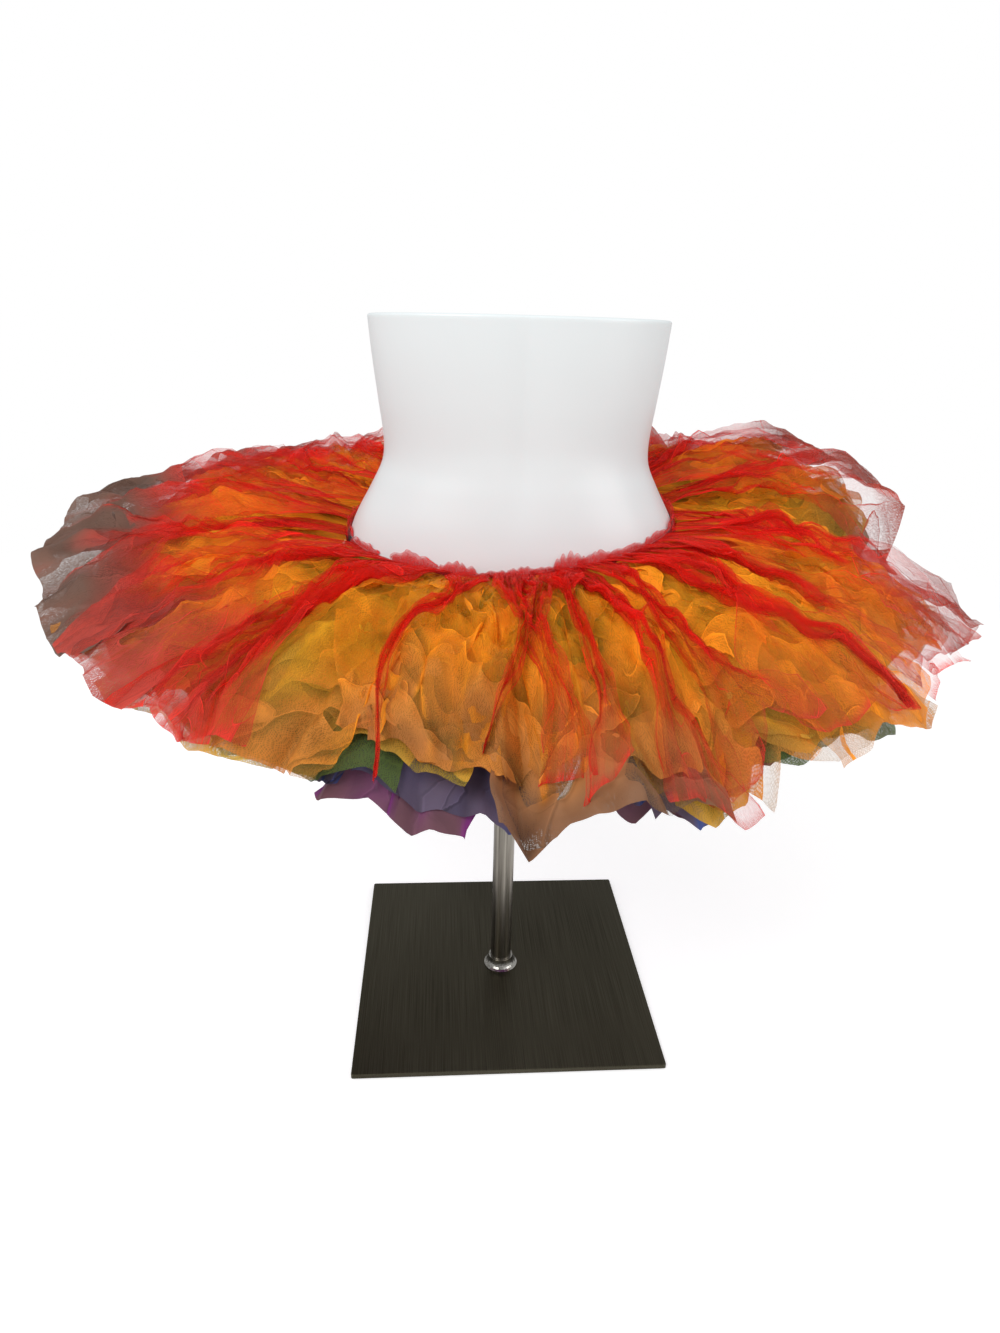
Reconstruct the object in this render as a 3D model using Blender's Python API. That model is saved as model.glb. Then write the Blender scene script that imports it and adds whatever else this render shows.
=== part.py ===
"""Tulle tutu standing out from a waist-and-hip dress form on a square steel stand.

Units are metres, +Z is up and the front of the garment faces -Y, with +X to the
viewer's right.  The origin is on the underside of the base plate, at its centre.
Azimuths are in degrees: 0 is the front (-Y), 90 the right (+X), 180 the back (+Y)
and 270 the left (-X).

The garment is a black elastic waistband with six rings of gathered tulle strips,
one ring for each colour, nested from red on top to violet underneath, and a short
header frill of the strips' loops above the band.  Each ring is a thin pleated wall.
Its ridges and valleys come from the FOLDS table, and its edge from the HEM table.
"""
import math

import bmesh
import bpy

# ------------------------------------------------------------------ sizes (metres)
GAP = 0.0003            # clearance between pieces that lie against each other

PLATE_SIDE = 0.300      # square base plate
PLATE_THICK = 0.005
PLATE_CORNER = 0.002    # corner rounding in plan
PLATE_EDGE = 0.0006     # eased top and bottom edges

POLE_RADIUS = 0.011     # round tube, 22 mm across
POLE_WALL = 0.0015

COLLAR_RADIUS = 0.018   # trumpet collar at the pole's foot
COLLAR_HEIGHT = 0.011
COLLAR_WALL = 0.0016

FORM_TOP = 0.667        # flat top of the form
FORM_BOTTOM = 0.326     # underside of the form
FORM_WALL = 0.003       # moulded shell
FORM_ROUNDNESS = 2.2    # superellipse exponent of its sections
FORM_SEGMENTS = 40

BAND_MIDDLE = 0.4885    # height of the elastic's middle where it is level
BAND_DIP = 0.0265       # it is this much lower at its lowest place and higher across from it
BAND_TURN = -18.0       # azimuth of its lowest place, left of the front
BAND_HEIGHT = 0.025
BAND_THICK = 0.0015

CLOTH = 0.0011          # wall of each tulle ring: several gathered plies
FRILL_WALL = 0.0010
FRILL_TUCK = 0.0045     # the frill starts this far below the band's top edge

FIRST_SEAM = 0.0035     # the red ring meets the band this far below its top edge
SEAM_STEP = 0.0036      # each ring under it is this much lower on the band
STEP_FRONT = 0.0065     # each ring hangs this much below the one over it at the hem
STEP_SIDE = 0.0048
STEP_BACK = 0.0110
ARCH_FRONT = 0.018      # rise of a ring between the band and the hem
ARCH_BACK = 0.026

# Sections of the form: height, half width, depth in front of and behind the axis.
FORM_SECTIONS = (
    # z,     half_w, front,  back
    (0.326, 0.0900, 0.0500, 0.0620),
    (0.332, 0.1180, 0.0640, 0.0800),
    (0.345, 0.1390, 0.0760, 0.0960),
    (0.368, 0.1560, 0.0870, 0.1100),
    (0.400, 0.1640, 0.0965, 0.1190),
    (0.435, 0.1605, 0.1015, 0.1170),
    (0.470, 0.1510, 0.1030, 0.1070),
    (0.501, 0.1413, 0.0985, 0.0930),
    (0.532, 0.1248, 0.0920, 0.0770),
    (0.551, 0.1160, 0.0880, 0.0690),
    (0.569, 0.1146, 0.0860, 0.0660),
    (0.602, 0.1185, 0.0865, 0.0690),
    (0.634, 0.1225, 0.0880, 0.0750),
    (0.665, 0.1256, 0.0895, 0.0820),
)

# Hem of the red ring: distance from the axis and height, by azimuth.
HEM = (
    # azimuth, reach, height
    (0, 0.354, 0.398),
    (15, 0.358, 0.400),
    (30, 0.372, 0.427),
    (45, 0.380, 0.431),
    (60, 0.391, 0.434),
    (75, 0.400, 0.435),
    (90, 0.400, 0.442),
    (105, 0.402, 0.506),
    (120, 0.385, 0.548),
    (135, 0.371, 0.542),
    (150, 0.360, 0.552),
    (165, 0.357, 0.550),
    (180, 0.356, 0.545),
    (195, 0.357, 0.538),
    (210, 0.364, 0.526),
    (225, 0.378, 0.518),
    (240, 0.394, 0.510),
    (255, 0.407, 0.504),
    (270, 0.412, 0.480),
    (285, 0.406, 0.458),
    (300, 0.397, 0.449),
    (315, 0.386, 0.445),
    (330, 0.370, 0.418),
    (345, 0.359, 0.402),
)

# The rings, from the top one down: how much shorter than red each one reaches.
RINGS = (
    # name,          shorter, colour (linear),        fold_share
    ("layer_red", 0.000, (0.76, 0.016, 0.008), 1.00),
    ("layer_orange", 0.008, (0.93, 0.26, 0.010), 0.97),
    ("layer_yellow", 0.018, (0.80, 0.46, 0.020), 0.94),
    ("layer_green", 0.029, (0.045, 0.16, 0.015), 0.90),
    ("layer_blue", 0.041, (0.035, 0.07, 0.30), 0.86),
    ("layer_violet", 0.054, (0.20, 0.025, 0.20), 0.82),
)

# The largest folds: each has a ridge and, after it, a valley.  Heights and depths are
# those at the hem; the ridge's strip corner reaches past the hem line by `tip`.  The
# strip's loop stands above the band by `loop` at the ridge and leans out by `sway`.
FOLDS = (
    # ridge_az, valley_az, rise, dip, tip, loop, sway
    (3, 10, 0.011, 0.010, 0.010, 0.006, 0.0012),
    (17, 25, 0.009, 0.014, 0.016, 0.010, 0.0008),
    (31, 37, 0.014, 0.009, 0.004, 0.009, 0.0028),
    (44, 53, 0.010, 0.015, 0.012, 0.007, 0.0012),
    (60, 66, 0.013, 0.010, 0.020, 0.008, 0.0020),
    (73, 82, 0.011, 0.016, 0.014, 0.010, 0.0012),
    (90, 96, 0.013, 0.009, -0.006, 0.014, 0.0024),
    (103, 112, 0.009, 0.013, 0.014, 0.011, 0.0010),
    (119, 127, 0.015, 0.010, 0.002, 0.017, 0.0028),
    (134, 141, 0.010, 0.014, 0.011, 0.012, 0.0016),
    (149, 158, 0.014, 0.012, 0.006, 0.015, 0.0026),
    (165, 171, 0.009, 0.010, 0.014, 0.010, 0.0012),
    (179, 187, 0.013, 0.015, 0.004, 0.018, 0.0030),
    (194, 202, 0.011, 0.010, 0.013, 0.013, 0.0014),
    (209, 215, 0.015, 0.013, 0.002, 0.016, 0.0026),
    (222, 231, 0.010, 0.011, 0.016, 0.010, 0.0012),
    (238, 244, 0.013, 0.009, 0.006, 0.014, 0.0024),
    (251, 260, 0.011, 0.015, 0.010, 0.012, 0.0010),
    (268, 275, 0.015, 0.011, 0.014, 0.009, 0.0022),
    (283, 292, 0.010, 0.014, 0.004, 0.011, 0.0014),
    (299, 305, 0.013, 0.010, 0.013, 0.008, 0.0026),
    (312, 320, 0.011, 0.013, 0.002, 0.013, 0.0012),
    (327, 333, 0.015, 0.010, 0.014, 0.012, 0.0016),
    (340, 350, 0.010, 0.013, 0.008, 0.005, 0.0010),
)

# Rings of points between the band and the hem: share of the way out, of the drop, of
# the arch and of the fold's size at the hem.
SPANS = (
    # out,  drop, arch, fold
    (0.00, 0.00, 0.00, 0.06),
    (0.10, 0.03, 0.42, 0.26),
    (0.30, 0.14, 0.88, 0.52),
    (0.55, 0.38, 1.00, 0.76),
    (0.79, 0.70, 0.62, 0.92),
    (1.00, 1.00, 0.00, 1.00),
)


# ------------------------------------------------------------------ curves and lookups
def hermite(rows, key, column):
    """Value of one column at `key`, on a smooth curve through the rows."""
    count = len(rows)
    if key <= rows[0][0]:
        return rows[0][column]
    if key >= rows[-1][0]:
        return rows[-1][column]
    i = max(j for j in range(count - 1) if rows[j][0] <= key)
    low, high = max(i - 1, 0), min(i + 2, count - 1)
    step = rows[i + 1][0] - rows[i][0]
    t = (key - rows[i][0]) / step
    m0 = (rows[i + 1][column] - rows[low][column]) / (rows[i + 1][0] - rows[low][0]) * step
    m1 = (rows[high][column] - rows[i][column]) / (rows[high][0] - rows[i][0]) * step
    return ((2 * t ** 3 - 3 * t ** 2 + 1) * rows[i][column] + (t ** 3 - 2 * t ** 2 + t) * m0
            + (3 * t ** 2 - 2 * t ** 3) * rows[i + 1][column] + (t ** 3 - t ** 2) * m1)


def around(rows, azimuth, column):
    """The same for a table that closes on itself at 360 degrees."""
    wrapped = ([(r[0] - 360,) + tuple(r[1:]) for r in rows[-2:]] + list(rows)
               + [(r[0] + 360,) + tuple(r[1:]) for r in rows[:2]])
    return hermite(wrapped, azimuth % 360, column)


def polar(azimuth, radius, z):
    a = math.radians(azimuth)
    return (radius * math.sin(a), -radius * math.cos(a), z)


def form_radius(azimuth, z):
    """Distance from the axis to the form's surface."""
    a = math.radians(azimuth)
    half = hermite(FORM_SECTIONS, z, 1)
    depth = hermite(FORM_SECTIONS, z, 2 if math.cos(a) > 0 else 3)
    n = FORM_ROUNDNESS
    return (abs(math.sin(a) / half) ** n + abs(math.cos(a) / depth) ** n) ** (-1 / n)


def band_middle(azimuth):
    return BAND_MIDDLE - BAND_DIP * math.cos(math.radians(azimuth - BAND_TURN))


def band_inside(azimuth):
    """The elastic stands upright, so it touches the form at its lower edge."""
    middle = band_middle(azimuth)
    heights = [middle + BAND_HEIGHT * (i / 6 - 0.5) for i in range(7)]
    return max(form_radius(azimuth, z) for z in heights) + 3 * GAP


def band_outside(azimuth):
    return band_inside(azimuth) + BAND_THICK


def fold_stops():
    """Azimuth of every ridge and valley in order, with the fold's height there, its
    corner past the hem line and its loop.  All the cloth shares these azimuths, so that
    neighbouring pieces keep an even gap."""
    stops = []
    for ridge, valley, rise, dip, tip, loop, sway in FOLDS:
        stops.append((ridge, rise, tip, loop, sway))
        stops.append((valley, -dip, -0.4 * tip, 0.4 * loop, -0.3 * sway))
    return sorted(stops)


# ------------------------------------------------------------------ making objects
def material(name, colour, roughness, metallic=0.0):
    mat = bpy.data.materials.new(name)
    mat.use_nodes = True
    shader = mat.node_tree.nodes["Principled BSDF"]
    shader.inputs["Base Color"].default_value = (*colour, 1.0)
    shader.inputs["Roughness"].default_value = roughness
    shader.inputs["Metallic"].default_value = metallic
    return mat


def add_object(name, mesh, mat, smooth_angle=None):
    mesh.materials.append(mat)
    if smooth_angle is not None:
        mesh.shade_smooth()
        mesh.set_sharp_from_angle(angle=math.radians(smooth_angle))
    obj = bpy.data.objects.new(name, mesh)
    bpy.context.scene.collection.objects.link(obj)
    return obj


def solidify(obj, thickness, offset):
    mod = obj.modifiers.new("wall", "SOLIDIFY")
    mod.thickness = thickness
    mod.offset = offset
    mod.use_even_offset = True
    mod.use_quality_normals = True
    return mod


def sheet_from_rows(name, rows):
    """A sheet of quads through closed rows of points, ordered so that the last row is
    above or outside the first and the faces look up or out."""
    bm = bmesh.new()
    verts = [[bm.verts.new(p) for p in row] for row in rows]
    count = len(rows[0])
    for low, high in zip(verts, verts[1:]):
        for i in range(count):
            j = (i + 1) % count
            bm.faces.new((low[i], low[j], high[j], high[i]))
    mesh = bpy.data.meshes.new(name)
    bm.to_mesh(mesh)
    bm.free()
    return mesh


def turned(name, profile, segments):
    """A solid of revolution about the Z axis from a closed profile of (radius, z)."""
    bm = bmesh.new()
    verts = [bm.verts.new((r, 0.0, z)) for r, z in profile]
    edges = [bm.edges.new((verts[i], verts[(i + 1) % len(verts)])) for i in range(len(verts))]
    bmesh.ops.spin(bm, geom=verts + edges, cent=(0, 0, 0), axis=(0, 0, 1),
                   angle=2 * math.pi, steps=segments, use_merge=True)
    bmesh.ops.remove_doubles(bm, verts=bm.verts, dist=1e-6)
    bmesh.ops.recalc_face_normals(bm, faces=bm.faces)
    mesh = bpy.data.meshes.new(name)
    bm.to_mesh(mesh)
    bm.free()
    return mesh


# ------------------------------------------------------------------ the stand
def make_base_plate():
    bm = bmesh.new()
    bmesh.ops.create_cube(bm, size=1.0)
    bmesh.ops.scale(bm, vec=(PLATE_SIDE, PLATE_SIDE, PLATE_THICK), verts=bm.verts)
    bmesh.ops.translate(bm, vec=(0, 0, PLATE_THICK / 2), verts=bm.verts)
    upright = [e for e in bm.edges if abs(e.verts[0].co.z - e.verts[1].co.z) > PLATE_THICK / 2]
    bmesh.ops.bevel(bm, geom=upright, offset=PLATE_CORNER, segments=3, profile=0.5,
                    affect="EDGES")
    rims = [e for e in bm.edges if abs(e.verts[0].co.z - e.verts[1].co.z) < 1e-6
            and any(abs(f.normal.z) > 0.9 for f in e.link_faces)
            and any(abs(f.normal.z) < 0.1 for f in e.link_faces)]
    bmesh.ops.bevel(bm, geom=rims, offset=PLATE_EDGE, segments=1, profile=0.5, affect="EDGES")
    mesh = bpy.data.meshes.new("base_plate")
    bm.to_mesh(mesh)
    bm.free()
    return add_object("base_plate", mesh,
                      material("brushed dark steel", (0.085, 0.080, 0.062), 0.38, 1.0))


def make_pole():
    foot = PLATE_THICK + GAP
    head = FORM_TOP - FORM_WALL - GAP
    inner = POLE_RADIUS - POLE_WALL
    profile = ((inner, foot), (POLE_RADIUS, foot), (POLE_RADIUS, head), (inner, head))
    return add_object("pole", turned("pole", profile, 32),
                      material("satin steel", (0.45, 0.44, 0.42), 0.30, 1.0), 40)


def make_pole_collar():
    """A spun collar, flat on the plate and curving up to hug the pole."""
    foot = PLATE_THICK + GAP
    bore = POLE_RADIUS + GAP
    neck = bore + COLLAR_WALL
    curve = []
    for i in range(7):
        t = i / 6
        radius = neck + (COLLAR_RADIUS - neck) * (1 - t) ** 2.6
        curve.append((radius, foot + 0.0007 + (COLLAR_HEIGHT - 0.0007) * t ** 1.1))
    profile = [(bore, foot), (COLLAR_RADIUS, foot)] + curve + [(bore, foot + COLLAR_HEIGHT)]
    return add_object("pole_collar", turned("pole_collar", profile, 32),
                      material("polished steel", (0.60, 0.59, 0.57), 0.18, 1.0), 35)


def make_dress_form():
    """A smooth shell, lofted through its sections, with a flat closed top and a hole
    for the pole in its rounded underside."""
    hole = POLE_RADIUS + GAP
    heights = [row[0] for row in FORM_SECTIONS]
    azimuths = [360.0 * i / FORM_SEGMENTS for i in range(FORM_SEGMENTS)]
    rows = [[polar(a, hole, FORM_BOTTOM - 0.0020) for a in azimuths],
            [polar(a, 0.55 * form_radius(a, FORM_BOTTOM), FORM_BOTTOM - 0.0016)
             for a in azimuths]]
    rows += [[polar(a, form_radius(a, z), z) for a in azimuths] for z in heights]
    rows.append([polar(a, form_radius(a, FORM_TOP) - 0.0020, FORM_TOP) for a in azimuths])
    rows.append([polar(a, 0.45 * form_radius(a, FORM_TOP), FORM_TOP) for a in azimuths])
    mesh = sheet_from_rows("dress_form", rows)
    bm = bmesh.new()
    bm.from_mesh(mesh)
    rim = [e for e in bm.edges if e.is_boundary and e.verts[0].co.z > FORM_TOP - 1e-5]
    bmesh.ops.contextual_create(bm, geom=rim)
    lid = max((f for f in bm.faces if len(f.verts) > 4), key=lambda f: f.calc_area())
    bmesh.ops.poke(bm, faces=[lid])
    bm.to_mesh(mesh)
    bm.free()
    obj = add_object("dress_form", mesh, material("glossy white plastic", (0.83, 0.83, 0.84),
                                                  0.28), 50)
    solidify(obj, FORM_WALL, -1.0)
    return obj


# ------------------------------------------------------------------ the garment
def make_waistband():
    rows = [[polar(a, band_inside(a), band_middle(a) + side * BAND_HEIGHT / 2)
             for a, lift, tip, loop, sway in fold_stops()] for side in (-1, 1)]
    obj = add_object("waistband", sheet_from_rows("waistband", rows),
                     material("black elastic", (0.012, 0.012, 0.013), 0.80))
    solidify(obj, BAND_THICK, 1.0)
    return obj


def make_header_frill():
    """The loops of the strips where they pass over the elastic: a low upright wall whose
    top edge rises and sways from loop to loop."""
    rows = []
    for share in (0.0, 0.30, 0.65, 1.0):
        row = []
        for azimuth, lift, tip, loop, sway in fold_stops():
            top = band_middle(azimuth) + BAND_HEIGHT / 2
            z = top - FRILL_TUCK if share == 0 else top + (share - 0.30) / 0.70 * loop
            lean = 0.0 if share == 0 else share * (0.0008 + sway)
            row.append(polar(azimuth, band_outside(azimuth) + 2 * GAP + lean, z))
        rows.append(row)
    obj = add_object("header_frill", sheet_from_rows("header_frill", rows),
                     material("red tulle loops", (0.80, 0.05, 0.035), 0.75))
    solidify(obj, FRILL_WALL, 1.0)
    return obj


def step_down(azimuth):
    """How far each ring hangs below the one over it at the hem."""
    c = math.cos(math.radians(azimuth))
    return STEP_FRONT * max(c, 0) ** 2 + STEP_SIDE * (1 - c * c) + STEP_BACK * max(-c, 0) ** 2


def ring_rows(order, shorter, fold_share):
    """Points of one pleated ring, row by row from the band to the hem."""
    rows = []
    for out, drop, arch, fold in SPANS:
        row = []
        for azimuth, lift, tip, loop, sway in fold_stops():
            back = (1 - math.cos(math.radians(azimuth))) / 2
            step = step_down(azimuth)
            seam = FRILL_WALL + 4 * GAP if order == 0 else 2 * GAP
            r_in = band_outside(azimuth) + seam + CLOTH / 2
            z_in = (band_middle(azimuth) + BAND_HEIGHT / 2 - FIRST_SEAM - SEAM_STEP * order)
            uneven = 1 + 0.55 * math.sin(2.1 * order + 0.9 * azimuth)
            r_hem = around(HEM, azimuth, 1) - shorter + tip * fold_share * uneven
            z_hem = around(HEM, azimuth, 2) - step * order - 0.25 * max(tip, 0)
            rise = (ARCH_FRONT + (ARCH_BACK - ARCH_FRONT) * back) * (1 - 0.04 * order)
            radius = r_in + (r_hem - r_in) * out
            z = z_in + (z_hem - z_in) * drop + rise * arch + lift * fold * fold_share
            row.append(polar(azimuth, radius, z))
        rows.append(row)
    return rows


def make_ring(order, name, shorter, colour, fold_share):
    # the rows run outwards, so the sheet's faces look down: reverse them to look up
    mesh = sheet_from_rows(name, ring_rows(order, shorter, fold_share)[::-1])
    obj = add_object(name, mesh, material(name.replace("layer_", "") + " tulle", colour, 0.75))
    solidify(obj, CLOTH, 0.0)
    return obj


def main():
    for obj in list(bpy.data.objects):
        bpy.data.objects.remove(obj, do_unlink=True)
    make_base_plate()
    make_pole()
    make_pole_collar()
    make_dress_form()
    make_waistband()
    make_header_frill()
    for order, (name, shorter, colour, fold_share) in enumerate(RINGS):
        make_ring(order, name, shorter, colour, fold_share)


main()
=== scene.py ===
"""Looks of the rainbow tulle tutu on its dress form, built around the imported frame."""
import math

import bpy
import numpy as np
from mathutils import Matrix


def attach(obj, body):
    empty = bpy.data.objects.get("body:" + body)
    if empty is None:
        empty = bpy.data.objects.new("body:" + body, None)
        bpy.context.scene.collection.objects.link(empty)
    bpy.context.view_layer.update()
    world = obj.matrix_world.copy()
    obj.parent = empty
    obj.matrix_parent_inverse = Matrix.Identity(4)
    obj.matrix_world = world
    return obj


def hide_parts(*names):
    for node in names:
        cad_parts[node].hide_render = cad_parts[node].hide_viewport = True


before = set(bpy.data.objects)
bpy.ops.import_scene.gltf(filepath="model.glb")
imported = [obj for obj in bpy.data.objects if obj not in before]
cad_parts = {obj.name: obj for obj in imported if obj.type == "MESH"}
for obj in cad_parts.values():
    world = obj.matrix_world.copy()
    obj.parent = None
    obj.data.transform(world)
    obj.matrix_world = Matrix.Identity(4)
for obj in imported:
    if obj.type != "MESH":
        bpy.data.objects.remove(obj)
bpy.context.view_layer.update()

# ------------------------------------------------------------------ the frame's own sizes
GAP = 0.0003
PLATE_SIDE, PLATE_THICK = 0.300, 0.005
POLE_RADIUS = 0.011
FORM_TOP, FORM_BOTTOM, FORM_ROUNDNESS = 0.667, 0.326, 2.2
BAND_MIDDLE, BAND_DIP, BAND_TURN = 0.4885, 0.0265, -18.0
BAND_HEIGHT, BAND_THICK = 0.025, 0.0015
FIRST_SEAM, SEAM_STEP = 0.0035, 0.0036
STEP_FRONT, STEP_SIDE, STEP_BACK = 0.0065, 0.0048, 0.0110

FORM_SECTIONS = np.array((
    # z,     half_w, front,  back
    (0.326, 0.0900, 0.0500, 0.0620),
    (0.332, 0.1180, 0.0640, 0.0800),
    (0.345, 0.1390, 0.0760, 0.0960),
    (0.368, 0.1560, 0.0870, 0.1100),
    (0.400, 0.1640, 0.0965, 0.1190),
    (0.435, 0.1605, 0.1015, 0.1170),
    (0.470, 0.1510, 0.1030, 0.1070),
    (0.501, 0.1413, 0.0985, 0.0930),
    (0.532, 0.1248, 0.0920, 0.0770),
    (0.551, 0.1160, 0.0880, 0.0690),
    (0.569, 0.1146, 0.0860, 0.0660),
    (0.602, 0.1185, 0.0865, 0.0690),
    (0.634, 0.1225, 0.0880, 0.0750),
    (0.665, 0.1256, 0.0895, 0.0820),
))

HEMLINE = np.array((
    # azimuth, reach, height: each corner and notch of the hem, all the way round
    (1, 0.354, 0.393), (4, 0.356, 0.401), (8, 0.359, 0.415), (11, 0.357, 0.399),
    (14, 0.351, 0.399), (18, 0.362, 0.386), (21.5, 0.364, 0.399), (24, 0.348, 0.434),
    (28, 0.371, 0.426), (32, 0.369, 0.427), (35, 0.367, 0.438), (42, 0.382, 0.429),
    (50, 0.361, 0.445), (60, 0.374, 0.436), (70, 0.400, 0.434), (79, 0.397, 0.436),
    (88, 0.381, 0.436), (95, 0.374, 0.447), (99, 0.407, 0.503), (107, 0.398, 0.530),
    (117, 0.387, 0.547), (129, 0.362, 0.536), (138, 0.347, 0.512), (147, 0.359, 0.553),
    (160, 0.356, 0.548), (174, 0.360, 0.552), (188, 0.353, 0.536), (202, 0.360, 0.537),
    (209, 0.356, 0.513), (222, 0.359, 0.510), (229, 0.371, 0.512), (236, 0.378, 0.523),
    (244, 0.382, 0.499), (251, 0.393, 0.505), (259, 0.411, 0.503), (267, 0.408, 0.483),
    (275, 0.412, 0.470), (284, 0.390, 0.445), (291, 0.388, 0.457), (300, 0.386, 0.441),
    (309, 0.379, 0.451), (315, 0.386, 0.444), (321, 0.374, 0.447), (325, 0.380, 0.424),
    (328, 0.374, 0.430), (332, 0.353, 0.413), (336, 0.373, 0.430), (340, 0.360, 0.427),
    (345, 0.356, 0.398), (350, 0.358, 0.404), (355, 0.357, 0.403), (357.5, 0.345, 0.366),
))


# The frame's largest folds: how far the cloth stands over or under its mean line.
FOLDS = np.array((
    # azimuth, lift
    (3, 0.011), (10, -0.010), (17, 0.009), (25, -0.014), (31, 0.014), (37, -0.009),
    (44, 0.010), (53, -0.015), (60, 0.013), (66, -0.010), (73, 0.011), (82, -0.016),
    (90, 0.013), (96, -0.009), (103, 0.009), (112, -0.013), (119, 0.015), (127, -0.010),
    (134, 0.010), (141, -0.014), (149, 0.014), (158, -0.012), (165, 0.009), (171, -0.010),
    (179, 0.013), (187, -0.015), (194, 0.011), (202, -0.010), (209, 0.015), (215, -0.013),
    (222, 0.010), (231, -0.011), (238, 0.013), (244, -0.009), (251, 0.011), (260, -0.015),
    (268, 0.015), (275, -0.011), (283, 0.010), (292, -0.014), (299, 0.013), (305, -0.010),
    (312, 0.011), (320, -0.013), (327, 0.015), (333, -0.010), (340, 0.010), (350, -0.013),
))


def hermite(rows, key, column):
    """One column of a table at `key`, on a smooth curve through its rows."""
    keys, values = rows[:, 0], rows[:, column]
    key = np.clip(key, keys[0], keys[-1])
    i = np.clip(np.searchsorted(keys, key, side="right") - 1, 0, len(keys) - 2)
    low, high = np.maximum(i - 1, 0), np.minimum(i + 2, len(keys) - 1)
    step = keys[i + 1] - keys[i]
    t = (key - keys[i]) / step
    m0 = (values[i + 1] - values[low]) / (keys[i + 1] - keys[low]) * step
    m1 = (values[high] - values[i]) / (keys[high] - keys[i]) * step
    return ((2 * t**3 - 3 * t**2 + 1) * values[i] + (t**3 - 2 * t**2 + t) * m0
            + (3 * t**2 - 2 * t**3) * values[i + 1] + (t**3 - t**2) * m1)


def around(rows, azimuth, column):
    """A column of a table of azimuths, with straight runs between its rows."""
    wrapped = np.vstack([rows[-1:] - [[360] + [0] * (rows.shape[1] - 1)], rows,
                         rows[:1] + [[360] + [0] * (rows.shape[1] - 1)]])
    return np.interp(np.mod(azimuth, 360), wrapped[:, 0], wrapped[:, column])


def form_radius(azimuth, z):
    a = np.radians(azimuth)
    half = hermite(FORM_SECTIONS, z, 1)
    depth = np.where(np.cos(a) > 0, hermite(FORM_SECTIONS, z, 2), hermite(FORM_SECTIONS, z, 3))
    n = FORM_ROUNDNESS
    return (np.abs(np.sin(a) / half) ** n + np.abs(np.cos(a) / depth) ** n) ** (-1 / n)


def band_middle(azimuth):
    return BAND_MIDDLE - BAND_DIP * np.cos(np.radians(azimuth - BAND_TURN))


def band_inside(azimuth):
    middle = band_middle(azimuth)
    radii = [form_radius(azimuth, middle + BAND_HEIGHT * (i / 6 - 0.5)) for i in range(7)]
    return np.max(radii, axis=0) + 3 * GAP


def band_snug(azimuth, z):
    """The elastic's inner face: a cone drawn in against the form at both its edges."""
    middle = band_middle(azimuth)
    low = form_radius(azimuth, middle - BAND_HEIGHT / 2)
    high = form_radius(azimuth, middle + BAND_HEIGHT / 2)
    t = np.clip((z - middle) / BAND_HEIGHT + 0.5, 0, 1)
    level = middle + (t - 0.5) * BAND_HEIGHT
    return np.maximum(low + (high - low) * t, form_radius(azimuth, level)) + 3 * GAP


# ------------------------------------------------------------------ mesh helpers
def smooth(edge0, edge1, x):
    t = np.clip((x - edge0) / (edge1 - edge0), 0, 1)
    return t * t * (3 - 2 * t)


def grid_object(name, patches, mat):
    """One mesh of several sheets.  Each patch is (points[r, c, 3], uv[r, c, 2], tone[r, c, 4],
    closed), with `closed` true where its columns run all the way round."""
    coords, loops, uvs, tones, webs, offset = [], [], [], [], [], 0
    for points, uv, tone, closed, *web in patches:
        rows, cols = points.shape[:2]
        index = np.arange(rows * cols).reshape(rows, cols) + offset
        if closed:
            index = np.hstack([index, index[:, :1]])
            uv = np.concatenate([uv, 2 * uv[:, -1:] - uv[:, -2:-1]], axis=1)
        quads = np.stack([index[:-1, :-1], index[:-1, 1:], index[1:, 1:], index[1:, :-1]], -1)
        loops.append(quads.reshape(-1, 4))
        corner = np.stack([uv[:-1, :-1], uv[:-1, 1:], uv[1:, 1:], uv[1:, :-1]], 2)
        uvs.append(corner.reshape(-1, 2))
        coords.append(points.reshape(-1, 3))
        tones.append(tone.reshape(-1, 4))
        webs.append(web[0].reshape(-1, 3) if web else np.full((rows * cols, 3), 0.5))
        offset += rows * cols
    coords, loops = np.concatenate(coords), np.concatenate(loops)
    uvs, tones = np.concatenate(uvs), np.concatenate(tones)
    mesh = bpy.data.meshes.new(name)
    mesh.vertices.add(len(coords))
    mesh.vertices.foreach_set("co", coords.astype(np.float32).ravel())
    mesh.loops.add(len(loops) * 4)
    mesh.loops.foreach_set("vertex_index", loops.astype(np.int32).ravel())
    mesh.polygons.add(len(loops))
    mesh.polygons.foreach_set("loop_start", np.arange(0, len(loops) * 4, 4, dtype=np.int32))
    mesh.polygons.foreach_set("loop_total", np.full(len(loops), 4, dtype=np.int32))
    mesh.polygons.foreach_set("use_smooth", np.ones(len(loops), dtype=bool))
    mesh.update(calc_edges=True)
    layer = mesh.uv_layers.new(name="cut")
    layer.data.foreach_set("uv", uvs.astype(np.float32).ravel())
    web = mesh.attributes.new("web", "FLOAT_VECTOR", "POINT")
    web.data.foreach_set("vector", np.concatenate(webs).astype(np.float32).ravel())
    tone = mesh.color_attributes.new("tone", "FLOAT_COLOR", "POINT")
    tone.data.foreach_set("color", tones.astype(np.float32).ravel())
    mesh.validate()
    mesh.materials.append(mat)
    obj = bpy.data.objects.new(name, mesh)
    bpy.context.scene.collection.objects.link(obj)
    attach(obj, "root")
    return obj


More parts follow.
